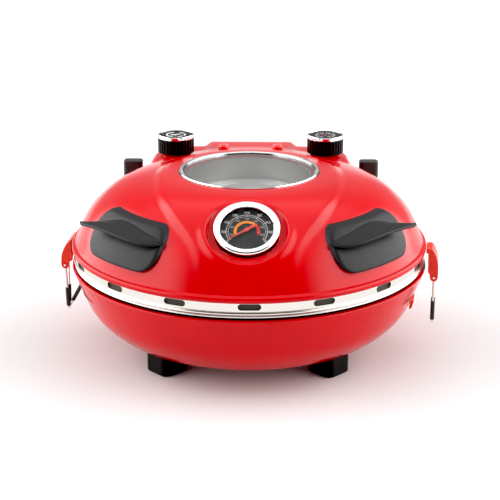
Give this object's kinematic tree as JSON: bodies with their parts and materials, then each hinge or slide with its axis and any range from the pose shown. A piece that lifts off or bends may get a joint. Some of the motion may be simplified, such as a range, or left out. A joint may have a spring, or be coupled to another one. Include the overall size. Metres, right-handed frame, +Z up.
{
  "type": "countertop pizza oven",
  "caption": "Round clamshell pizza oven on feet: red domed lid with window, thermometer, knobs and leaf handles over a bowl base, closed by side wire latches.",
  "frame": {"origin": "on the table under the middle of the whole oven's bounding box; the closing ring's centre is 9.5 mm in front of it", "axes": "+Z up; -Y towards the user; +X to the user's right"},
  "size_m": [0.3818, 0.375, 0.1916],
  "materials": {
    "red_enamel": "high-gloss red enamel",
    "red_bracket": "gloss red paint",
    "bright_pan": "bright pressed sheet",
    "stone": "fired cordierite",
    "element": "dark oxidised sheath",
    "zinc": "zinc-plated",
    "foot_plastic": "fine grained",
    "steel_band": "bright polished",
    "silicone": "matt",
    "window_glass": "clear tempered",
    "inner_glass": "grey tempered",
    "trim_chrome": "polished",
    "collar_steel": "satin",
    "bezel_chrome": "polished",
    "gauge_lens": "clear",
    "dial_black": "printed black dial",
    "needle_red": "satin red",
    "handle_plastic": "fine grained",
    "ceramic_block": "unglazed",
    "inner_black": "moulded",
    "knob_plastic": "satin black",
    "knob_chrome": "polished",
    "knob_cap": "printed dark disc",
    "lamp_red": "translucent red",
    "post_plastic": "fine grained",
    "wire_steel": "nickel-plated",
    "grip_sleeve": "heat-resistant sleeve"
  },
  "bodies": {
    "base": {"base_bowl": "red_enamel", "base_pan": "bright_pan", "pizza_stone": "stone", "lower_element": "element", "lower_element_clips": "zinc", "foot_front_left": "foot_plastic", "foot_front_right": "foot_plastic", "foot_rear_left": "foot_plastic", "foot_rear_right": "foot_plastic", "foot_screws": "zinc", "base_hinge_bracket": "zinc", "hinge_pins": "zinc", "left_catch": "red_bracket", "right_catch": "red_bracket"},
    "needle": {"gauge_needle": "needle_red"},
    "thermostat_dial": {"thermostat_knob": "knob_plastic", "thermostat_knob_ring": "knob_chrome", "thermostat_knob_cap": "knob_cap", "thermostat_shaft": "zinc"},
    "timer_dial": {"timer_knob": "knob_plastic", "timer_knob_ring": "knob_chrome", "timer_knob_cap": "knob_cap", "timer_shaft": "zinc"},
    "left_bail": {"left_bail_wire": "wire_steel", "left_bail_grips": "grip_sleeve"},
    "right_bail": {"right_bail_wire": "wire_steel", "right_bail_grips": "grip_sleeve"},
    "lid": {"lid_shell": "red_enamel", "gauge_seat": "red_enamel", "lid_rim_band": "steel_band", "lid_inner_pan": "bright_pan", "window_gasket": "silicone", "window_glass": "window_glass", "window_trim": "trim_chrome", "window_collar": "collar_steel", "window_inner_glass": "inner_glass", "upper_element": "element", "upper_element_clips": "zinc", "gauge_bezel": "bezel_chrome", "gauge_lens": "gauge_lens", "gauge_dial": "dial_black", "gauge_case": "zinc", "gauge_stem": "zinc", "left_handle": "handle_plastic", "right_handle": "handle_plastic", "handle_screws": "zinc", "thermostat_body": "ceramic_block", "timer_body": "inner_black", "left_lamp": "lamp_red", "right_lamp": "lamp_red", "lamp_holders": "inner_black", "left_rear_post": "post_plastic", "right_rear_post": "post_plastic", "cord_gland": "inner_black", "lid_hinge_arm": "zinc", "left_latch_bracket": "red_bracket", "right_latch_bracket": "red_bracket"}
  },
  "joints": [
    {"name": "lid_hinge", "type": "hinge", "parent": "base", "child": "lid", "pos_m": [0, 0.1815, 0.097], "axis": [-1, 0, 0], "range_deg": [0, 95]},
    {"name": "needle_sweep", "type": "hinge", "parent": "lid", "child": "needle", "pos_m": [0, -0.1445, 0.1627], "axis": [0, 0.5592, -0.829], "range_deg": [0, 245], "stiffness_Nm_per_rad": 0.0002},
    {"name": "thermostat_turn", "type": "hinge", "parent": "lid", "child": "thermostat_dial", "pos_m": [-0.0794, 0.0875, 0.18], "axis": [0, 0, -1], "range_deg": [0, 270]},
    {"name": "timer_turn", "type": "hinge", "parent": "lid", "child": "timer_dial", "pos_m": [0.0794, 0.0875, 0.18], "axis": [0, 0, -1], "range_deg": [0, 300]},
    {"name": "left_bail_swing", "type": "hinge", "parent": "lid", "child": "left_bail", "pos_m": [-0.18689, -0.00297, 0.0793], "axis": [0.0349, 0.9994, 0], "range_deg": [-6, 90]},
    {"name": "right_bail_swing", "type": "hinge", "parent": "lid", "child": "right_bail", "pos_m": [0.18518, -0.03553, 0.0793], "axis": [-0.1392, -0.9903, 0], "range_deg": [-26, 90]}
  ]
}
